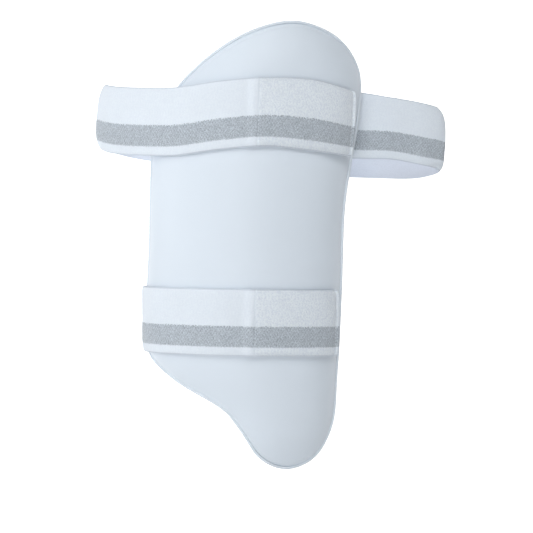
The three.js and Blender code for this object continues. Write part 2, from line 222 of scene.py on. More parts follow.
def nearest_on_line(places, line):
    """Which point of a line lies nearest to each place, and how far away it is."""
    index = np.zeros(len(places), int)
    least = np.zeros(len(places))
    for i in range(0, len(places), CHUNK):
        apart = np.linalg.norm(places[i : i + CHUNK, None] - line[None], axis=2)
        index[i : i + CHUNK] = apart.argmin(1)
        least[i : i + CHUNK] = apart.min(1)
    return index, least


# %% Directions at the seam: out from the leg, and in from the seam over the pad's face
LEG_AXIS_Y = 0.105  # the middle of the leg, behind the pad


def unit(vectors):
    return vectors / np.linalg.norm(vectors, axis=-1, keepdims=True)


leg_side = seam_line - np.array([0, LEG_AXIS_Y, 0])
leg_side[:, 2] = 0
leg_side = unit(leg_side)
forward = unit(np.roll(seam_line, -1, axis=0) - np.roll(seam_line, 1, axis=0))
inward = unit(np.cross(leg_side, forward))
if (inward * (seam_line - seam_line.mean(0))).sum() > 0:
    inward = -inward

# %% The piping lies low in its seam, but stands proud down the pad's right side
PROUD_FROM_X = 0.070
PROUD_TO_X = 0.088
SEAM_SINK = -0.0004
PROUD_TOP_Z = 0.145
PROUD_FADE = 0.03  # below its top
SEAM_RISE = 0.0011

proud = np.clip((seam_line[:, 0] - PROUD_FROM_X) / (PROUD_TO_X - PROUD_FROM_X), 0, 1)
proud *= np.clip((PROUD_TOP_Z - seam_line[:, 2]) / PROUD_FADE, 0, 1)
seam_line = seam_line + leg_side * (SEAM_SINK + (SEAM_RISE - SEAM_SINK) * proud)[:, None]
fine_rows = np.arange(0, len(seam_line), FINE_STEP)
fine_seam = smooth_rows(seam_line, fine_rows, closed=True)
fine_out = smooth_rows(leg_side, fine_rows, closed=True)
fine_inward = smooth_rows(inward, fine_rows, closed=True)
fine_proud = np.interp(fine_rows, np.arange(len(proud)), proud)


# %% [markdown]
# ## The pad's cover
#
# On the real pad a stretchy cover is sewn over shaped foam, and it is held along the piped edge. One could
# just smooth the CAD solid, but it would look moulded. Instead its triangles are paired into squares, so
# that they bend like cloth, and a cloth simulation blows the cover up with a little pressure while its
# edge stays pinned. The pad then rises softly from its seam, and on both sides of the straps that press
# on it. How far a point may move is capped, so that the pad keeps its form.

# %% Squares from the CAD solid's triangles
PAIRING_ANGLE = math.radians(100)

pad = merged_copy("thigh_pad", "padded_cover")
select_only(pad)
edit_all()
bpy.ops.mesh.tris_convert_to_quads(face_threshold=PAIRING_ANGLE, shape_threshold=PAIRING_ANGLE)
bpy.ops.object.mode_set(mode="OBJECT")


def subdivide_smoothly(obj):
    smooth = obj.modifiers.new("smooth", "SUBSURF")
    smooth.levels = 1
    apply_modifier(obj, smooth)


subdivide_smoothly(pad)
print("cover before the cloth:", len(pad.data.polygons), "faces")


# %% Where the straps press on the pad
def face_tree(meshes):
    """A search tree over the faces of some meshes."""
    places = []
    faces = []
    for mesh in meshes:
        base = len(places)
        places += [vert.co.copy() for vert in mesh.vertices]
        faces += [[base + i for i in face.vertices] for face in mesh.polygons]
    return BVHTree.FromPolygons(places, faces)


strap_nodes = ("waist_strap", "thigh_strap", "waist_hook_patch", "thigh_hook_patch")
straps = face_tree([nodes[name].data for name in strap_nodes])


def strap_distance(places):
    return np.array([straps.find_nearest(Vector(place))[3] for place in places])


# %% Blow the cover up with cloth simulation
SEAM_HOLD = 0.0032
COVER_PRESSURE = 4
CLOTH_FRAMES = 20
CLOTH_QUALITY = 5
CLOTH_MASS = 0.15
CLOTH_STIFFNESS = 15
CLOTH_BENDING = 0.5
MOST_SWELL = 0.0006
PRESSED_SWELL = 0.0001
PRESS_REACH = 0.001  # how near a strap has to be to press on the cover
PRESS_EASE = 0.004  # how much farther from a strap the pad is free to rise
LEAST_SIZE = 1e-9  # keeps a division by a length away from zero


def soft_ramp(share, height):
    """Rises from nothing to the height, and is level at both ends."""
    return height * share**2 * (3 - 2 * share)


def inflate(obj, pinned, pressure, frames, cap):
    rest = points_of(obj)
    group = obj.vertex_groups.new(name="sewn")
    group.add([int(i) for i in np.flatnonzero(pinned)], 1.0, "REPLACE")
    cloth = obj.modifiers.new("cloth", "CLOTH")
    cloth.settings.quality = CLOTH_QUALITY
    cloth.settings.mass = CLOTH_MASS
    cloth.settings.tension_stiffness = CLOTH_STIFFNESS
    cloth.settings.compression_stiffness = CLOTH_STIFFNESS
    cloth.settings.bending_stiffness = CLOTH_BENDING
    cloth.settings.use_pressure = True
    cloth.settings.uniform_pressure_force = pressure
    cloth.settings.vertex_group_mass = group.name
    cloth.settings.effector_weights.gravity = 0
    cloth.point_cache.frame_start = 1
    cloth.point_cache.frame_end = frames
    scene = bpy.context.scene
    scene.frame_start = 1
    scene.frame_end = frames
    for step in range(1, frames + 1):
        scene.frame_set(step)
    apply_modifier(obj, cloth)
    scene.frame_set(1)
    moved = points_of(obj) - rest
    size = np.linalg.norm(moved, axis=1)
    kept = cap * np.tanh(size / cap)
    set_points(obj, rest + moved * (kept / np.maximum(size, LEAST_SIZE))[:, None])
    print("cover rose", round(float(kept.mean()) * 1000, 2), "mm on average")


free = np.clip((strap_distance(points_of(pad)) - PRESS_REACH) / PRESS_EASE, 0, 1)
cap = PRESSED_SWELL + soft_ramp(free, MOST_SWELL - PRESSED_SWELL)
_, from_seam = nearest_on_line(points_of(pad), fine_seam)
inflate(pad, from_seam < SEAM_HOLD, COVER_PRESSURE, CLOTH_FRAMES, cap)

# %% One more subdivision, then the cloth is drawn up to the piping
PIPING_RADIUS = 0.00155
CREASE_REACH = 0.0050  # from the piping's middle, where the cover starts to be drawn to it
EDGE_RAISE = 0.0008  # of the cover beside the piping, out from the leg

subdivide_smoothly(pad)
places = points_of(pad)
seam_index, far = nearest_on_line(places, fine_seam)
over_face = ((places - fine_seam[seam_index]) * fine_inward[seam_index]).sum(1) > 0
near = np.clip((CREASE_REACH - far) / (CREASE_REACH - PIPING_RADIUS), 0, 1) * over_face
raised = soft_ramp(near, EDGE_RAISE) * (1 - fine_proud[seam_index])
places += fine_out[seam_index] * raised[:, None]
apart = places - fine_seam[seam_index]
far = np.linalg.norm(apart, axis=1)
eased = np.clip((far - PIPING_RADIUS) / (CREASE_REACH - PIPING_RADIUS), 0, 1)
drawn = PIPING_RADIUS + (CREASE_REACH - PIPING_RADIUS) * eased**2
close = far < CREASE_REACH
places[close] = fine_seam[seam_index[close]] + apart[close] * (drawn[close] / far[close])[:, None]
set_points(pad, places)
print("cover:", len(pad.data.polygons), "faces,", int(close.sum()), "points drawn to the piping")

# %% [markdown]
# ## A row of top stitching
#
# A few millimetres inside the piping, one row of stitches holds the cover to its lining and leaves a
# shallow channel. A plain ball, squashed to a thread's size, is one stitch. An Array modifier repeats it
# into a straight row, and each row is then bent along its own line.

# %% One straight row of stitches
STITCH_LONG = 0.0024
STITCH_THICK = 0.0005
STITCH_SUNK = 0.8  # how far into its channel a stitch lies, as a share of the depth


def stitch_row(name, count, pitch):
    """Stitches along X, with the first one's middle at half a pitch."""
    bpy.ops.object.select_all(action="DESELECT")
    bpy.ops.mesh.primitive_uv_sphere_add(segments=6, ring_count=4, radius=1)
    row = bpy.context.object
    row.name = name
    edit_all()
    bpy.ops.transform.rotate(value=math.radians(90), orient_axis="Y", center_override=(0, 0, 0))
    bpy.ops.transform.resize(value=(STITCH_LONG / 2, STITCH_THICK / 2, STITCH_THICK / 2))
    bpy.ops.transform.translate(value=(pitch / 2, 0, 0))
    bpy.ops.object.mode_set(mode="OBJECT")
    repeat = row.modifiers.new("repeat", "ARRAY")
    repeat.use_relative_offset = False
    repeat.use_constant_offset = True
    repeat.constant_offset_displace = (pitch, 0, 0)
    repeat.count = count
    apply_modifier(row, repeat)
    return row


# %% The line that the row follows on the pad
STITCH_INSIDE = 0.0052
STITCH_PITCH = 0.0034
SEARCH_RISE = 0.001  # how far above the seam the search for the cover starts

pad_tree = face_tree([pad.data])
stitch_line = []
stitch_out = []
for at, into, out in zip(seam_line, inward, leg_side):
    touch, normal, _, _ = pad_tree.find_nearest(Vector(at + into * STITCH_INSIDE + out * SEARCH_RISE))
    stitch_line.append(tuple(touch))
    stitch_out.append(tuple(normal))
stitch_line = np.array(stitch_line)
stitch_out = np.array(stitch_out)
stitch_steps = np.linalg.norm(np.roll(stitch_line, -1, axis=0) - stitch_line, axis=1)
print("top stitching:", round(stitch_steps.sum(), 3), "m long")

# %% The channel and its stitches
CHANNEL_DEPTH = 0.0003
CHANNEL_WIDTH = 0.0010
ROWS_AHEAD = 0.05  # a short way along a line, to find its direction

fine_stitch_line = smooth_rows(stitch_line, np.arange(0, len(stitch_line), FINE_STEP), closed=True)
places = points_of(pad)
normals = np.zeros(len(places) * 3)
pad.data.vertices.foreach_get("normal", normals)
_, from_row = nearest_on_line(places, fine_stitch_line)
depth = CHANNEL_DEPTH * np.exp(-((from_row / CHANNEL_WIDTH) ** 2))
places -= normals.reshape(-1, 3) * depth[:, None]
set_points(pad, places)
shade_smooth(pad)
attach(pad, "root")
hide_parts("thigh_pad")


def along_closed_line(flat, line, out, steps):
    """Flat places bent round a closed line: x along it, y to its side, z out from it."""
    total = steps.sum()
    cumulative = np.concatenate([[0], np.cumsum(steps)])
    row_at = np.interp(np.mod(flat[:, 0], total), cumulative, np.arange(len(cumulative)))
    centre = smooth_rows(line, row_at, closed=True)
    ahead = unit(smooth_rows(line, row_at + ROWS_AHEAD, closed=True) - centre)
    up = smooth_rows(out, row_at, closed=True)
    side = unit(np.cross(up, ahead))
    up = np.cross(ahead, side)
    return centre + side * flat[:, 1:2] + up * flat[:, 2:3]


stitch_count = round(stitch_steps.sum() / STITCH_PITCH)
pad_stitches = stitch_row("cover_stitching", stitch_count, stitch_steps.sum() / stitch_count)
flat = points_of(pad_stitches)
flat[:, 2] -= CHANNEL_DEPTH * STITCH_SUNK
set_points(pad_stitches, along_closed_line(flat, stitch_line, stitch_out, stitch_steps))
shade_smooth(pad_stitches)
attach(pad_stitches, "root")
print(stitch_count, "stitches,", len(pad_stitches.data.polygons), "faces")

# %% [markdown]
# ## The piping
#
# Piping is a strip of cloth folded round a cord and sewn into the seam. A torus is the nearest primitive:
# it is already a closed tube. It is subdivided, and each of its points is moved to the same place round the
# seam line. The cloth is drawn in a little between stitches, which gives real piping its fine puckers.

# %% Piping
PUCKER_DEPTH = 0.05
PIPING_STEPS = 256

bpy.ops.object.select_all(action="DESELECT")
bpy.ops.mesh.primitive_torus_add(
    major_segments=PIPING_STEPS,
    minor_segments=4,
    major_radius=1,
    minor_radius=0.2,
)
piping = bpy.context.object
piping.name = "edge_cord"
edit_all()
bpy.ops.mesh.subdivide(number_cuts=3)
bpy.ops.object.mode_set(mode="OBJECT")
ring = points_of(piping)
turn = np.mod(np.arctan2(ring[:, 1], ring[:, 0]), TURN)
around = np.arctan2(ring[:, 2], np.hypot(ring[:, 0], ring[:, 1]) - 1)
radius = PIPING_RADIUS * (1 + PUCKER_DEPTH * np.sin(turn * PIPING_STEPS))
flat = np.stack([turn / TURN * seam_length, np.cos(around) * radius, np.sin(around) * radius], 1)
face_out = np.tile([0.0, -1.0, 0.0], (len(seam_line), 1))
set_points(piping, along_closed_line(flat, seam_line, face_out, seam_steps))
select_only(piping)
edit_all()
bpy.ops.mesh.normals_make_consistent(inside=False)
bpy.ops.object.mode_set(mode="OBJECT")
shade_smooth(piping)
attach(piping, "root")
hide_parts("edge_piping")
print("piping:", len(piping.data.polygons), "faces")

# %% [markdown]
# ## Reading a strap's line
#
# Each strap's CAD solid is a thin band: ring after ring of twelve points, closed by a cap at either end.
# The corners of a cap are the only square ones, so they show where the band starts. Walking away from the
# start, one step at a time, gives the rings in order. Each ring gives five places across the strap.

# %% Rings of a strap, in order
CAP_CORNER = math.radians(77.5)
COLUMNS = 5
MIDDLE = 2  # the column halfway across


def cap_groups(form):
    corners = {
        vert
        for edge in form.edges
        if edge.is_manifold and edge.calc_face_angle() > CAP_CORNER
        for vert in edge.verts
    }
    groups = []
    while corners:
        group = {corners.pop()}
        edge_of = set(group)
        while edge_of:
            edge_of = {
                e.other_vert(v) for v in edge_of for e in v.link_edges if e.other_vert(v) in corners
            }
            corners -= edge_of
            group |= edge_of
        groups.append(group)
    return sorted(groups, key=len)[-2:]


def strap_rings(node):
    source = merged_copy(node, node + "_rings")
    form = bmesh.new()
    form.from_mesh(source.data)
    start = max(cap_groups(form), key=lambda group: sum(v.co.y for v in group) / len(group))
    rings = [start]
    seen = set(start)
    while True:
        step = {e.other_vert(v) for v in rings[-1] for e in v.link_edges} - seen
        if not step:
            break
        rings.append(step)
        seen |= step
    places = np.array([[tuple(v.co) for v in ring] for ring in rings])
    form.free()
    remove(source)
    return places


def middle_grid(rings):
    """Five places across the middle of each ring, from its lower edge to its upper one."""
    grid = []
    for ring in rings:
        low = ring[ring[:, 2].argmin()]
        high = ring[ring[:, 2].argmax()]
        across = (high - low) / np.linalg.norm(high - low)
        sides = ring[np.argsort(ring @ across)][1:-1]
        columns = sides.reshape(COLUMNS, 2, 3).mean(1)
        grid.append([low, *columns[1:-1], high])
    return np.array(grid)


waist_grid = middle_grid(strap_rings("waist_strap"))
thigh_grid = middle_grid(strap_rings("thigh_strap"))


def grid_lengths(grid):
    middle = grid[:, MIDDLE]
    return np.concatenate([[0], np.cumsum(np.linalg.norm(np.diff(middle, axis=0), axis=1))])


print("waist strap:", waist_grid.shape, round(grid_lengths(waist_grid)[-1], 3), "m long")
print("thigh strap:", thigh_grid.shape, round(grid_lengths(thigh_grid)[-1], 3), "m long")


# %% Wrap flat places along a strap
WRAP_REACH = 0.001  # to either side of a place, to find the strap's directions there


def wrapped_places(grid, flat, width):
    """Where flat places go on the worn strap: x along it, y across it, z out from its middle."""
    lengths = grid_lengths(grid)

    def surface(x, y):
        rows = smooth_rows(grid, np.interp(x, lengths, np.arange(len(lengths))))
        last = COLUMNS - 1
        at = np.clip(y / width + 0.5, 0, 1) * last
        columns = np.swapaxes(rows, 0, 1)
        index = np.arange(len(at))
        first = np.clip(np.floor(at).astype(int), 0, last - 1)
        share = (at - first)[:, None]

        def column(i):
            inside = columns[np.clip(i, 0, last), index]
            inside = np.where((i < 0)[:, None], 2 * columns[0] - columns[1], inside)
            return np.where((i > last)[:, None], 2 * columns[last] - columns[last - 1], inside)

        return catmull_rom(column(first - 1), column(first), column(first + 1), column(first + 2), share)

    x = np.clip(flat[:, 0], 0, lengths[-1])
    y = flat[:, 1]
    reach = WRAP_REACH
    forward = surface(np.minimum(x + reach, lengths[-1]), y) - surface(np.maximum(x - reach, 0), y)
    upward = surface(x, np.minimum(y + reach, width / 2)) - surface(x, np.maximum(y - reach, -width / 2))
    outward = unit(np.cross(forward, upward))
    forward = unit(forward)
    beyond = flat[:, 0] - x
    return surface(x, y) + forward * beyond[:, None] + outward * flat[:, 2][:, None]


# %% [markdown]
# ## Terry straps
#
# Terry elastic is a thick woven tape with a pile of small loops on its face, and a flatter back. It is
# made here as it is in life: a flat tape, cut to length. A fine grid is thickened with Solidify, its edges
# are rounded with Bevel, and the pile, the sewn rows and the folded hem are raised or pressed into it
# while it is flat. Its edges turn in where it will bend sharply, and soft waves cross it where it will
# hang free of the pad. Only then is it wrapped along its CAD strap's line. Its squares are smaller near
# each sewn row, where the relief is fine.

# %% A flat tape
PILE_STEP = 0.0014
SEAM_STEP = 0.00045
SEAM_NEAR = 0.005
SHARP_EDGE = math.radians(60)
EDGE_SEGMENTS = 3


def even_stations(length, step):
    return np.linspace(0, length, round(length / step) + 1)


def sewn_stations(length, seams):
    """Places along a tape, closer together near each of its seams."""
    places = [0.0]
    while places[-1] < length:
        near = min(abs(places[-1] - seam) for seam in seams)
        share = min(near / SEAM_NEAR, 1) ** 2
        places.append(places[-1] + SEAM_STEP + (PILE_STEP - SEAM_STEP) * share)
    places = np.array(places)
    return places * length / places[-1]


def flat_tape(name, stations, width, thickness, step, rounding):
    bpy.ops.object.select_all(action="DESELECT")
    bpy.ops.mesh.primitive_grid_add(
        x_subdivisions=len(stations) - 1, y_subdivisions=round(width / step), size=1
    )
    tape = bpy.context.object
    tape.name = name
    flat = points_of(tape)
    flat[:, 0] = np.interp(flat[:, 0] + 0.5, np.linspace(0, 1, len(stations)), stations)
    flat[:, 1] *= width
    set_points(tape, flat)
    wall = tape.modifiers.new("wall", "SOLIDIFY")
    wall.thickness = thickness
    wall.offset = 0
    apply_modifier(tape, wall)
    edge = tape.modifiers.new("edge", "BEVEL")
    edge.width = rounding
    edge.segments = EDGE_SEGMENTS
    edge.limit_method = "ANGLE"
    edge.angle_limit = SHARP_EDGE
    apply_modifier(tape, edge)
    return tape


# %% Tape coordinates for the materials
def keep_tape_map(tape):
    """A UV map in metres along and across the flat tape."""
    flat = points_of(tape)
    corner = np.zeros(len(tape.data.loops), int)
    tape.data.loops.foreach_get("vertex_index", corner)
    layer = tape.data.uv_layers.get("Tape") or tape.data.uv_layers.new(name="Tape")
    layer.data.foreach_set("uv", flat[corner][:, :2].ravel())
    for other in [uv for uv in tape.data.uv_layers if uv.name != "Tape"]:
        tape.data.uv_layers.remove(other)


STRAP_THICKNESS = 0.0026
BACK_FROM = 0.3  # how far below its middle the tape's back starts, as a share of its thickness


def mark_backs(tape):
    """Faces on the tape's wearer side get the second material."""
    flat = points_of(tape)
    for face in tape.data.polygons:
        middle = flat[list(face.vertices)].mean(0)
        face.material_index = 1 if middle[2] < -STRAP_THICKNESS * BACK_FROM else 0


# %% Pile, sewn rows and hem, raised while the tape is flat
HEM_ROLL = 0.0015
HEM_WIDTH = 0.0036
HEM_CORNER = 0.0022  # how far the hem's corners are drawn back
CORNER_POWER = 6
CORNER_REACH = 0.01
ROW_PRESS = 0.0005
ROW_WIDTH = 0.0009
PILE_HEIGHT = 0.00012
PILE_DRIFT = 0.00016  # the height of slower changes of the pile
DRIFT_SCALE = 90
BACK_RELIEF = 0.4  # the share of the relief that the flatter back takes
HOOK_MARGIN = 0.005
EDGE_PRESS = 0.0015  # how far the selvedges reach down past the hook patch to the pad
PRESS_LENGTH = 0.01  # over which they start to do so
EDGE_THIN = 0.0009
THIN_WIDTH = 0.002


def smooth_noise(places, scale):
    return np.array([noise.noise((x * scale, y * scale, z * scale)) for x, y, z in places])


def relief(x, length, sewn_rows):
    """How far the tape's face stands up at a place along it: pressed at its rows, round at its hem."""
    lift = np.zeros(len(x))
    for place in sewn_rows:
        lift -= ROW_PRESS * np.exp(-(((x - place) / ROW_WIDTH) ** 2))
    from_middle = (length - x - HEM_WIDTH / 2) / (HEM_WIDTH / 2)
    return lift + HEM_ROLL * np.sqrt(np.clip(1 - from_middle**2, 0, 1))


def raise_pile(tape, length, width, sewn_rows, seed):
    flat = points_of(tape)
    side = np.clip(flat[:, 2] / (STRAP_THICKNESS / 2), -1, 1)
    lift = relief(flat[:, 0], length, sewn_rows)
    lift += PILE_HEIGHT * np.random.default_rng(seed).uniform(-1, 1, len(flat))
    lift += PILE_DRIFT * smooth_noise(flat, DRIFT_SCALE)
    corner = HEM_CORNER * np.abs(2 * flat[:, 1] / width) ** CORNER_POWER
    flat[:, 0] -= corner * np.clip(1 - (length - flat[:, 0]) / CORNER_REACH, 0, 1)
    from_edge = width / 2 - np.abs(flat[:, 1])
    over_patch = np.clip((flat[:, 0] - sewn_rows[1]) / PRESS_LENGTH, 0, 1)
    pressed = EDGE_PRESS * over_patch * np.clip(1 - from_edge / HOOK_MARGIN, 0, 1) ** 2
    thinned = EDGE_THIN * np.exp(-((from_edge / THIN_WIDTH) ** 2)) * (side > 0)
    flat[:, 2] += side * lift * np.where(side < 0, BACK_RELIEF, 1) - pressed - thinned
    set_points(tape, flat)


# %% Edges that turn in where a strap bends sharply
CURL_REACH = 0.010  # along the strap, on both sides of its bend
CURL_WIDTH = 0.0032


def curl_edges(tape, width, at, low_depth, high_depth):
    """At a sharp bend the selvedges take the short way round, and round off the strap's outline."""
    flat = points_of(tape)
    from_edge = width / 2 - np.abs(flat[:, 1])
    depth = np.where(flat[:, 1] < 0, low_depth, high_depth)
    near = np.exp(-(((flat[:, 0] - at) / CURL_REACH) ** 2))
    flat[:, 2] -= depth * near * np.exp(-from_edge / CURL_WIDTH)
    set_points(tape, flat)


# %% Soft waves where a strap hangs free of the pad
WAVE_LENGTH = 0.040
WAVE_REACH = 0.034
WAVE_SLANT = 6  # how many radians a wave is turned by each metre across the strap


def slacken(tape, at, depth):
    """Waves across a slack stretch: the cloth turns to the left light most at the place given."""
    flat = points_of(tape)
    from_place = flat[:, 0] - at
    turned = TURN * from_place / WAVE_LENGTH + WAVE_SLANT * flat[:, 1]
    flat[:, 2] += depth * np.sin(turned) * np.exp(-((from_place / WAVE_REACH) ** 2))
    set_points(tape, flat)


# %% Cut, sew and wrap both straps
WAIST_WIDTH = 0.065
THIGH_WIDTH = 0.063
START_SEAM = 0.004
HEM_SEAM = 0.0052
HEM_TAKE_UP = 0.0026  # what the folded hem takes from the tape's length
PATCH_SEAM_INSIDE = 0.004
STRAP_ROUNDING = 0.0010
WAIST_RIGHT_CURL = (0.0060, 0.0045)  # at the lower and the upper edge
WAIST_LEFT_CURL = (0.0065, 0.0030)
THIGH_LEFT_CURL = (0.0030, 0.0)
RIGHT_WAVE_X = 0.136
RIGHT_WAVE_DEPTH = 0.0005
LEFT_WAVE_X = -0.114
LEFT_WAVE_DEPTH = 0.0003


def tape_length(grid):
    return grid_lengths(grid)[-1] - HEM_TAKE_UP


def length_at_x(grid, x):
    """How far along a strap its last crossing of the plane at x is."""
    lengths = grid_lengths(grid)
    middle = grid[:, MIDDLE, 0]
    last = np.flatnonzero((middle[:-1] <= x) & (middle[1:] > x))[-1]
    share = (x - middle[last]) / (middle[last + 1] - middle[last])
    return lengths[last] + share * (lengths[last + 1] - lengths[last])


def sewn_places(grid, node):
    """Where the tape is sewn: at its start, along its hook patch's inner edge, and at its hem."""
    length = tape_length(grid)
    patch_low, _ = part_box(node.replace("strap", "hook_patch"))
    return [START_SEAM, length_at_x(grid, patch_low.x) + PATCH_SEAM_INSIDE, length - HEM_SEAM]


def make_strap(name, node, grid, width, curls, waves, seed):
    length = tape_length(grid)
    seams = sewn_places(grid, node)
    stations = sewn_stations(length, [*seams, length])
    tape = flat_tape(name, stations, width, STRAP_THICKNESS, PILE_STEP, STRAP_ROUNDING)
    keep_tape_map(tape)
    mark_backs(tape)
    raise_pile(tape, length, width, seams, seed)
    for row, depths in curls:
        curl_edges(tape, width, grid_lengths(grid)[row], *depths)
    for at, depth in waves:
        slacken(tape, at, depth)
    set_points(tape, wrapped_places(grid, points_of(tape), width))
    shade_smooth(tape)
    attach(tape, "root")
    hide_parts(node)
    print(name, len(tape.data.polygons), "faces,", round(length, 3), "m")
    return tape


waist_across = waist_grid[:, MIDDLE, 0]
waist_curls = [(waist_across.argmax(), WAIST_RIGHT_CURL), (waist_across.argmin(), WAIST_LEFT_CURL)]
thigh_curls = [(thigh_grid[:, MIDDLE, 0].argmin(), THIGH_LEFT_CURL)]
outgoing = np.arange(waist_across.argmax())
right_wave = np.interp(RIGHT_WAVE_X, waist_across[outgoing], grid_lengths(waist_grid)[outgoing])
left_wave = length_at_x(waist_grid, LEFT_WAVE_X)
waist_waves = [(right_wave, RIGHT_WAVE_DEPTH), (left_wave, LEFT_WAVE_DEPTH)]
waist_tape = make_strap(
    "waist_terry", "waist_strap", waist_grid, WAIST_WIDTH, waist_curls, waist_waves, seed=3
)
thigh_tape = make_strap("thigh_terry", "thigh_strap", thigh_grid, THIGH_WIDTH, thigh_curls, [], seed=4)

# %% Thread in the straps' sewn rows
ROW_INSET = 0.003
ROW_PITCH = 0.0032


def strap_stitches(name, node, grid, width):
    span = width - 2 * ROW_INSET
    count = round(span / ROW_PITCH)
    rows = []
    for seam in sewn_places(grid, node):
        row = stitch_row(name, count, span / count)
        flat = points_of(row)
        top = STRAP_THICKNESS / 2 - ROW_PRESS * STITCH_SUNK
        flat = np.stack([seam - flat[:, 1], flat[:, 0] - span / 2, flat[:, 2] + top], 1)
        set_points(row, wrapped_places(grid, flat, width))
        rows.append(row)
    select_only(*rows)
    bpy.ops.object.join()
    stitches = bpy.context.object
    stitches.name = name
    bpy.ops.object.shade_smooth()
    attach(stitches, "root")
    print(name, len(rows) * count, "stitches")
    return stitches


waist_stitches = strap_stitches("waist_stitching", "waist_strap", waist_grid, WAIST_WIDTH)
thigh_stitches = strap_stitches("thigh_stitching", "thigh_strap", thigh_grid, THIGH_WIDTH)

# %% [markdown]
# ## Hook patches
#
# Under each strap's end a patch of hook tape grips the pad's cover. It is hidden when the guard is worn,
# so it is one plain sheet with rounded corners, wrapped on the strap's own line, just under it.

# %% Hook patches
HOOK_THICKNESS = 0.0012
UNDER_STRAP = 0.0024
HOOK_STEP = 0.0025
HOOK_ROUNDING = 0.0003


def make_patch(name, node, grid, strap_width):
    low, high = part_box(node)
    start = length_at_x(grid, low.x)
    end = length_at_x(grid, high.x)
    width = strap_width - 2 * HOOK_MARGIN
    stations = even_stations(end - start, HOOK_STEP)
    patch = flat_tape(name, stations, width, HOOK_THICKNESS, HOOK_STEP, HOOK_ROUNDING)
    keep_tape_map(patch)
    flat = points_of(patch) + np.array([start, 0, -UNDER_STRAP])
    set_points(patch, wrapped_places(grid, flat, strap_width))
    shade_smooth(patch)
    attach(patch, "root")
    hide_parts(node)
    print(name, len(patch.data.polygons), "faces")
    return patch


waist_patch = make_patch("waist_hook_tape", "waist_hook_patch", waist_grid, WAIST_WIDTH)
thigh_patch = make_patch("thigh_hook_tape", "thigh_hook_patch", thigh_grid, THIGH_WIDTH)

# %% [markdown]
# ## Finishes
#
# Nodes give every cloth its own fine structure. Effects that several cloths share are node groups.

# %% Node helpers
def new_group(name, inputs, outputs):
    group = bpy.data.node_groups.new(name, "ShaderNodeTree")
    for label, kind, value in inputs:
        socket = group.interface.new_socket(label, in_out="INPUT", socket_type=kind)
        if value is not None:
            socket.default_value = value
    for label, kind in outputs:
        group.interface.new_socket(label, in_out="OUTPUT", socket_type=kind)
    return group, group.nodes.new("NodeGroupInput"), group.nodes.new("NodeGroupOutput")


def node(tree, kind, **settings):
    made = tree.nodes.new(kind)
    for key, value in settings.items():
        setattr(made, key, value)
    return made


def math_node(tree, operation, first, second=None, third=None):
    made = node(tree, "ShaderNodeMath", operation=operation)
    for socket, value in zip(made.inputs, (first, second, third)):
        if isinstance(value, bpy.types.NodeSocket):
            tree.links.new(value, socket)
        elif value is not None:
            socket.default_value = value
    return made.outputs[0]


def mixed_colour(tree, factor, first, second):
    """A mix of two colours, whose sockets on the Mix node are 6 and 7, and 2 for its result."""
    made = node(tree, "ShaderNodeMix", data_type="RGBA")
    for socket, value in ((made.inputs[0], factor), (made.inputs[6], first), (made.inputs[7], second)):
        if isinstance(value, bpy.types.NodeSocket):
            tree.links.new(value, socket)
        else:
            socket.default_value = value
    return made.outputs[2]


# %% Fine knit, a grain of small stitches
knit, knit_in, knit_out = new_group(
    "Fine knit",
    [("Vector", "NodeSocketVector", None), ("Scale", "NodeSocketFloat", 1600.0)],
    [("Height", "NodeSocketFloat")],
)
cells = node(knit, "ShaderNodeTexVoronoi", feature="SMOOTH_F1")
knit.links.new(knit_in.outputs["Vector"], cells.inputs["Vector"])
knit.links.new(knit_in.outputs["Scale"], cells.inputs["Scale"])
fibre = node(knit, "ShaderNodeTexNoise")
fibre.inputs["Detail"].default_value = 4
knit.links.new(knit_in.outputs["Vector"], fibre.inputs["Vector"])
knit.links.new(math_node(knit, "MULTIPLY", knit_in.outputs["Scale"], 0.35), fibre.inputs["Scale"])
knit_height = math_node(knit, "MULTIPLY_ADD", cells.outputs["Distance"], -0.6, 0.8)
knit.links.new(
    math_node(knit, "MULTIPLY_ADD", fibre.outputs["Fac"], 0.35, knit_height), knit_out.inputs["Height"]
)

# %% Cloth tone, slow changes over a hand's width
tone, tone_in, tone_out = new_group(
    "Cloth tone",
    [
        ("Vector", "NodeSocketVector", None),
        ("Color", "NodeSocketColor", (0.8, 0.8, 0.8, 1)),
        ("Scale", "NodeSocketFloat", 14.0),
        ("Amount", "NodeSocketFloat", 0.04),
    ],
    [("Color", "NodeSocketColor")],
)
drift = node(tone, "ShaderNodeTexNoise")
drift.inputs["Detail"].default_value = 3
tone.links.new(tone_in.outputs["Vector"], drift.inputs["Vector"])
tone.links.new(tone_in.outputs["Scale"], drift.inputs["Scale"])
darker = math_node(tone, "MULTIPLY", drift.outputs["Fac"], tone_in.outputs["Amount"])
shade = node(tone, "ShaderNodeHueSaturation")
tone.links.new(math_node(tone, "SUBTRACT", 1.0, darker), shade.inputs["Value"])
tone.links.new(tone_in.outputs["Color"], shade.inputs["Color"])
tone.links.new(shade.outputs["Color"], tone_out.inputs["Color"])

# %% Terry pile, small loops in crossing rows
TURN = 2 * math.pi

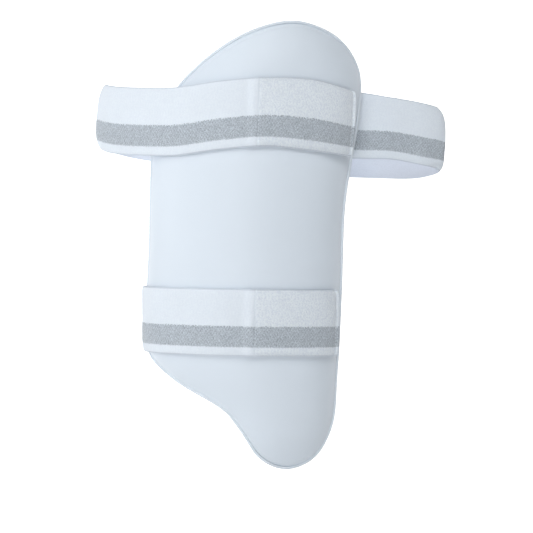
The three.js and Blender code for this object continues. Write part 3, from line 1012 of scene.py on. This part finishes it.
pile, pile_in, pile_out = new_group(
    "Terry pile",
    [
        ("Vector", "NodeSocketVector", None),
        ("Rows along", "NodeSocketFloat", 345.0),
        ("Rows across", "NodeSocketFloat", 235.0),
        ("Loops", "NodeSocketFloat", 1650.0),
        ("Looseness", "NodeSocketFloat", 0.0010),
        ("Order", "NodeSocketFloat", 0.2),
    ],
    [("Height", "NodeSocketFloat"), ("Fleck", "NodeSocketFloat")],
)
wander = node(pile, "ShaderNodeTexNoise")
wander.inputs["Scale"].default_value = 260
pile.links.new(pile_in.outputs["Vector"], wander.inputs["Vector"])
centred = node(pile, "ShaderNodeVectorMath", operation="SUBTRACT")
centred.inputs[1].default_value = (0.5, 0.5, 0.5)
pile.links.new(wander.outputs["Color"], centred.inputs[0])
loosened = node(pile, "ShaderNodeVectorMath", operation="SCALE")
pile.links.new(centred.outputs["Vector"], loosened.inputs[0])
pile.links.new(pile_in.outputs["Looseness"], loosened.inputs["Scale"])
laid = node(pile, "ShaderNodeVectorMath", operation="ADD")
pile.links.new(pile_in.outputs["Vector"], laid.inputs[0])
pile.links.new(loosened.outputs["Vector"], laid.inputs[1])
laid_parts = node(pile, "ShaderNodeSeparateXYZ")
pile.links.new(laid.outputs["Vector"], laid_parts.inputs["Vector"])
rows = []
for axis, rate in (("X", "Rows along"), ("Y", "Rows across")):
    angle_rate = math_node(pile, "MULTIPLY", pile_in.outputs[rate], TURN)
    turned = math_node(pile, "MULTIPLY", angle_rate, laid_parts.outputs[axis])
    rows.append(math_node(pile, "COSINE", turned))
crossing = math_node(pile, "MULTIPLY", rows[0], rows[1])
loops = node(pile, "ShaderNodeTexVoronoi", feature="F1")
pile.links.new(laid.outputs["Vector"], loops.inputs["Vector"])
pile.links.new(pile_in.outputs["Loops"], loops.inputs["Scale"])
grey = node(pile, "ShaderNodeSeparateColor")
pile.links.new(loops.outputs["Color"], grey.inputs["Color"])
loop_round = math_node(pile, "MULTIPLY_ADD", loops.outputs["Distance"], -0.8, 0.8)
pile.links.new(math_node(pile, "MULTIPLY_ADD", crossing, 0.35, loop_round), pile_out.inputs["Height"])
fleck = math_node(pile, "MULTIPLY_ADD", crossing, pile_in.outputs["Order"], grey.outputs["Red"])
fleck = math_node(pile, "MINIMUM", math_node(pile, "MAXIMUM", fleck, 0.0), 1.0)
pile.links.new(fleck, pile_out.inputs["Fleck"])


# %% A material with its principled shader
def cloth_material(name, roughness, sheen, specular):
    material = bpy.data.materials.new(name)
    material.use_nodes = True
    tree = material.node_tree
    shader = tree.nodes["Principled BSDF"]
    shader.inputs["Roughness"].default_value = roughness
    shader.inputs["Sheen Weight"].default_value = sheen
    shader.inputs["Sheen Roughness"].default_value = 0.5
    shader.inputs["Specular IOR Level"].default_value = specular
    return material, tree, shader


def group_node(tree, group, **values):
    made = node(tree, "ShaderNodeGroup", node_tree=group)
    for label, value in values.items():
        made.inputs[label].default_value = value
    return made


def bump(tree, shader, height, distance, strength):
    made = node(tree, "ShaderNodeBump")
    made.inputs["Strength"].default_value = strength
    made.inputs["Distance"].default_value = distance
    tree.links.new(height, made.inputs["Height"])
    tree.links.new(made.outputs["Normal"], shader.inputs["Normal"])


# %% Cover and piping cloth
def knit_cloth(name, colour, scale, roughness, sheen, depth):
    material, tree, shader = cloth_material(name, roughness, sheen, specular=0.35)
    place = node(tree, "ShaderNodeTexCoord").outputs["Object"]
    grain = group_node(tree, knit, Scale=scale)
    tree.links.new(place, grain.inputs["Vector"])
    drifted = group_node(tree, tone, Color=colour, Scale=14.0, Amount=0.03)
    tree.links.new(place, drifted.inputs["Vector"])
    tree.links.new(drifted.outputs["Color"], shader.inputs["Base Color"])
    bump(tree, shader, grain.outputs["Height"], distance=depth, strength=0.5)
    return material


COVER_WHITE = (0.768, 0.849, 0.935, 1)
PIPING_WHITE = (0.80, 0.87, 0.94, 1)
cover_knit = knit_cloth("cover knit", COVER_WHITE, scale=1500.0, roughness=0.5, sheen=0.15, depth=0.0001)
pad.data.materials.append(cover_knit)
piping_cloth = knit_cloth("piping cloth", PIPING_WHITE, scale=1800.0, roughness=0.6, sheen=0.2, depth=0.0001)
piping.data.materials.append(piping_cloth)

# %% Terry with its grey stripe
TERRY_LIGHT = (0.86, 0.93, 0.99, 1)
TERRY_SHADE = (0.73, 0.80, 0.90, 1)
STRIPE_DARK = (0.335, 0.38, 0.435, 1)
STRIPE_LIGHT = (0.635, 0.70, 0.765, 1)
# A thin darker line along both edges: partly the denser woven selvedge, partly painted contact shadow.
SELVEDGE = 0.0014
SELVEDGE_PAINTED_SHADOW = (0.50, 0.55, 0.64, 1)
STRIPE_FROM = 0.135
STRIPE_TO = 0.445
STRIPE_WANDER = 0.022  # of the tape's width, as the stripe is
STRIPE_SOFT = 0.006
SMOOTH_PILE = 0.3  # how much of its flecks the terry shows where it is drawn tight
PATCH_EDGE = 0.001  # over which the pile changes
# Above the flecks' mean, so the terry is painted lighter over the hook patch: painted light against its
# bump's shade.
RIB_MEAN = 0.66


def stripe_mask(tree, parts, width, ragged):
    """One inside the woven stripe, with an edge that wanders by a loop or so."""
    across = math_node(tree, "MULTIPLY_ADD", parts.outputs["Y"], 1 / width, 0.5)
    across = math_node(tree, "MULTIPLY_ADD", ragged, STRIPE_WANDER, across)
    across = math_node(tree, "SUBTRACT", across, STRIPE_WANDER / 2)
    middle = (STRIPE_FROM + STRIPE_TO) / 2
    half = (STRIPE_TO - STRIPE_FROM) / 2
    off = math_node(tree, "ABSOLUTE", math_node(tree, "SUBTRACT", across, middle))
    inside = node(tree, "ShaderNodeMapRange", interpolation_type="SMOOTHSTEP")
    inside.inputs["From Min"].default_value = half + STRIPE_SOFT
    inside.inputs["From Max"].default_value = half - STRIPE_SOFT
    tree.links.new(off, inside.inputs["Value"])
    return inside.outputs["Result"]


def selvedge_shadow_mask(tree, parts, width):
    """One along the tape's two edges: partly their denser weave, partly painted contact shadow from the pad.
    """
    edge = node(tree, "ShaderNodeMapRange", interpolation_type="SMOOTHSTEP")
    edge.inputs["From Min"].default_value = width / 2 - SELVEDGE
    edge.inputs["From Max"].default_value = width / 2 - SELVEDGE / 2
    edge.inputs["To Max"].default_value = 0.5
    tree.links.new(math_node(tree, "ABSOLUTE", parts.outputs["Y"]), edge.inputs["Value"])
    return edge.outputs["Result"]


def terry_cloth(name, width, patch_seam):
    material, tree, shader = cloth_material(name, roughness=0.9, sheen=0.3, specular=0.2)
    tape = node(tree, "ShaderNodeUVMap", uv_map="Tape").outputs["UV"]
    loops_here = group_node(tree, pile)
    tree.links.new(tape, loops_here.inputs["Vector"])
    fleck = loops_here.outputs["Fleck"]
    parts = node(tree, "ShaderNodeSeparateXYZ")
    tree.links.new(tape, parts.inputs["Vector"])
    over_patch = node(tree, "ShaderNodeMapRange")
    over_patch.inputs["From Min"].default_value = patch_seam
    over_patch.inputs["From Max"].default_value = patch_seam + PATCH_EDGE
    over_patch.inputs["To Min"].default_value = SMOOTH_PILE
    tree.links.new(parts.outputs["X"], over_patch.inputs["Value"])
    ribs = group_node(tree, pile, **{"Rows along": 320.0, "Rows across": 60.0, "Loops": 950.0})
    tree.links.new(tape, ribs.inputs["Vector"])
    # Flecks over the hook patch, with their mean shifted lighter there: painted light.
    uneven = math_node(tree, "SUBTRACT", ribs.outputs["Fleck"], RIB_MEAN)
    shaded = math_node(tree, "MULTIPLY_ADD", uneven, over_patch.outputs["Result"], 0.5)
    white = mixed_colour(tree, shaded, TERRY_LIGHT, TERRY_SHADE)
    stripe = mixed_colour(tree, fleck, STRIPE_DARK, STRIPE_LIGHT)
    inside = stripe_mask(tree, parts, width, fleck)
    # Darker along both edges: denser weave and painted contact shadow where the strap meets the pad.
    white = mixed_colour(tree, selvedge_shadow_mask(tree, parts, width), white, SELVEDGE_PAINTED_SHADOW)
    colour = mixed_colour(tree, inside, white, stripe)
    drifted = group_node(tree, tone, Scale=30.0, Amount=0.04)
    tree.links.new(tape, drifted.inputs["Vector"])
    tree.links.new(colour, drifted.inputs["Color"])
    tree.links.new(drifted.outputs["Color"], shader.inputs["Base Color"])
    rough = math_node(tree, "MAXIMUM", over_patch.outputs["Result"], inside)
    height = math_node(tree, "MULTIPLY", loops_here.outputs["Height"], rough)
    bump(tree, shader, height, distance=0.0005, strength=0.6)
    return material


for tape, node_name, grid, width in (
    (waist_tape, "waist_strap", waist_grid, WAIST_WIDTH),
    (thigh_tape, "thigh_strap", thigh_grid, THIGH_WIDTH),
):
    tape.data.materials.append(terry_cloth(tape.name + " pile", width, sewn_places(grid, node_name)[1]))


# %% The straps' plain back, and thread
BACK_LIGHT = (0.80, 0.84, 0.92, 1)
BACK_SHADE = (0.76, 0.80, 0.88, 1)


def terry_back(name):
    material, tree, shader = cloth_material(name, roughness=0.85, sheen=0.25, specular=0.2)
    tape = node(tree, "ShaderNodeUVMap", uv_map="Tape").outputs["UV"]
    grain = group_node(tree, pile, **{"Rows across": 700.0, "Loops": 1300.0})
    tree.links.new(tape, grain.inputs["Vector"])
    white = mixed_colour(tree, grain.outputs["Fleck"], BACK_LIGHT, BACK_SHADE)
    tree.links.new(white, shader.inputs["Base Color"])
    bump(tree, shader, grain.outputs["Height"], distance=0.0002, strength=0.5)
    return material


back = terry_back("terry back")
waist_tape.data.materials.append(back)
thigh_tape.data.materials.append(back)
THREAD_WHITE = (0.84, 0.90, 0.96, 1)
thread = knit_cloth("sewing thread", THREAD_WHITE, scale=3000.0, roughness=0.5, sheen=0.1, depth=0.00005)
for stitches in (pad_stitches, waist_stitches, thigh_stitches):
    stitches.data.materials.append(thread)

# %% Hook tape
HOOK_LIGHT = (0.60, 0.63, 0.67, 1)
HOOK_SHADE = (0.52, 0.55, 0.59, 1)

hook, hook_tree, hook_shader = cloth_material("hook tape", roughness=0.6, sheen=0.0, specular=0.4)
hook_tape = node(hook_tree, "ShaderNodeUVMap", uv_map="Tape").outputs["UV"]
hooks = group_node(hook_tree, pile, **{"Rows along": 600.0, "Rows across": 600.0, "Looseness": 0.0002})
hook_tree.links.new(hook_tape, hooks.inputs["Vector"])
hook_colour = mixed_colour(hook_tree, hooks.outputs["Fleck"], HOOK_LIGHT, HOOK_SHADE)
hook_tree.links.new(hook_colour, hook_shader.inputs["Base Color"])
bump(hook_tree, hook_shader, hooks.outputs["Height"], distance=0.0006, strength=0.8)
for patch in (waist_patch, thigh_patch):
    patch.data.materials.append(hook)

# %% [markdown]
# ## Studio
#
# The photograph is a plain product shot on white: no shadow shows, and the light comes softly from the
# left. A pale sweep of floor and wall stands well below and behind. Large lamps light the guard, and the
# sweep glows of itself, more at the back: painted light that falls on the guard too.

# %% Floor and backdrop in one sweep
FLOOR_Z = -0.42
FLOOR_SIZE = (10, 9, 1)
FLOOR_SHIFT = (0, -1, 0)
BEHIND_Y = 1  # only the sweep's rear edges lie farther back
WALL_HEIGHT = 5
BEND_WIDTH = 1.2
BEND_SEGMENTS = 16
LEVEL = 0.001

bpy.ops.object.select_all(action="DESELECT")
bpy.ops.mesh.primitive_plane_add(size=1, location=(0, 0, FLOOR_Z))
sweep = bpy.context.object
sweep.name = "studio_sweep"
bpy.ops.object.mode_set(mode="EDIT")
bpy.ops.transform.resize(value=FLOOR_SIZE)
bpy.ops.transform.translate(value=FLOOR_SHIFT)
bpy.ops.mesh.select_all(action="DESELECT")
bpy.ops.object.mode_set(mode="OBJECT")
for edge in sweep.data.edges:
    edge.select = all(sweep.data.vertices[i].co.y > BEHIND_Y for i in edge.vertices)
bpy.ops.object.mode_set(mode="EDIT")
bpy.ops.mesh.select_mode(type="EDGE")
bpy.ops.mesh.extrude_region_move(TRANSFORM_OT_translate={"value": (0, 0, WALL_HEIGHT)})
bpy.ops.mesh.select_all(action="DESELECT")
bpy.ops.object.mode_set(mode="OBJECT")
for edge in sweep.data.edges:
    corner = [sweep.data.vertices[i].co for i in edge.vertices]
    edge.select = all(co.y > BEHIND_Y and abs(co.z) < LEVEL for co in corner)
bpy.ops.object.mode_set(mode="EDIT")
bpy.ops.mesh.bevel(offset=BEND_WIDTH, segments=BEND_SEGMENTS)
bpy.ops.object.mode_set(mode="OBJECT")
bpy.ops.object.shade_smooth()

# %% Paper that glows of itself, more at the back: painted light that also falls on the guard
paper = bpy.data.materials.new("studio paper")
paper.use_nodes = True
paper_tree = paper.node_tree
paper_shader = paper_tree.nodes["Principled BSDF"]
paper_shader.inputs["Base Color"].default_value = (0.9, 0.9, 0.9, 1)
paper_shader.inputs["Roughness"].default_value = 0.9
paper_shader.inputs["Emission Strength"].default_value = 1
paper_parts = node(paper_tree, "ShaderNodeSeparateXYZ")
paper_place = node(paper_tree, "ShaderNodeTexCoord").outputs["Object"]
paper_tree.links.new(paper_place, paper_parts.inputs["Vector"])
# Painted light: the paper glows, faintly at the front and fully at the back, and its glow lights the guard.
paper_glow = node(paper_tree, "ShaderNodeMapRange", interpolation_type="SMOOTHSTEP")
paper_glow.inputs["From Min"].default_value = 0.2
paper_glow.inputs["From Max"].default_value = 1.0
paper_glow.inputs["To Min"].default_value = 0.02
paper_glow.inputs["To Max"].default_value = 1.09
paper_tree.links.new(paper_parts.outputs["Y"], paper_glow.inputs["Value"])
paper_tree.links.new(paper_glow.outputs["Result"], paper_shader.inputs["Emission Color"])
sweep.data.materials.append(paper)


# %% Lamps and air
LAMP_DISTANCE = 2.4
LAMP_SIZE = 1.2


def soft_lamp(name, azimuth, elevation, power):
    """A round soft lamp that faces the guard. Azimuth 0 is in front of it, and positive to the right."""
    turn = math.radians(azimuth)
    rise = math.radians(elevation)
    away = Vector((math.sin(turn) * math.cos(rise), -math.cos(turn) * math.cos(rise), math.sin(rise)))
    bpy.ops.object.light_add(type="AREA", location=away * LAMP_DISTANCE)
    lamp = bpy.context.object
    lamp.name = name
    lamp.data.shape = "DISK"
    lamp.data.size = LAMP_SIZE
    lamp.data.energy = power
    lamp.rotation_mode = "QUATERNION"
    lamp.rotation_quaternion = away.to_track_quat("Z", "Y")
    print(name, power, "W")


soft_lamp("front_lamp", azimuth=0, elevation=45, power=13)
soft_lamp("key_lamp", azimuth=-15, elevation=55, power=5.5)
soft_lamp("low_lamp", azimuth=-10, elevation=-5, power=18)
soft_lamp("left_lamp", azimuth=-80, elevation=15, power=23)
soft_lamp("right_lamp", azimuth=45, elevation=50, power=12.5)

world = bpy.data.worlds.new("studio air")
bpy.context.scene.world = world
world.use_nodes = True
air = world.node_tree.nodes["Background"]
air.inputs["Color"].default_value = (0.95, 0.98, 1, 1)
air.inputs["Strength"].default_value = 0.01
bpy.context.scene.view_settings.view_transform = "Standard"
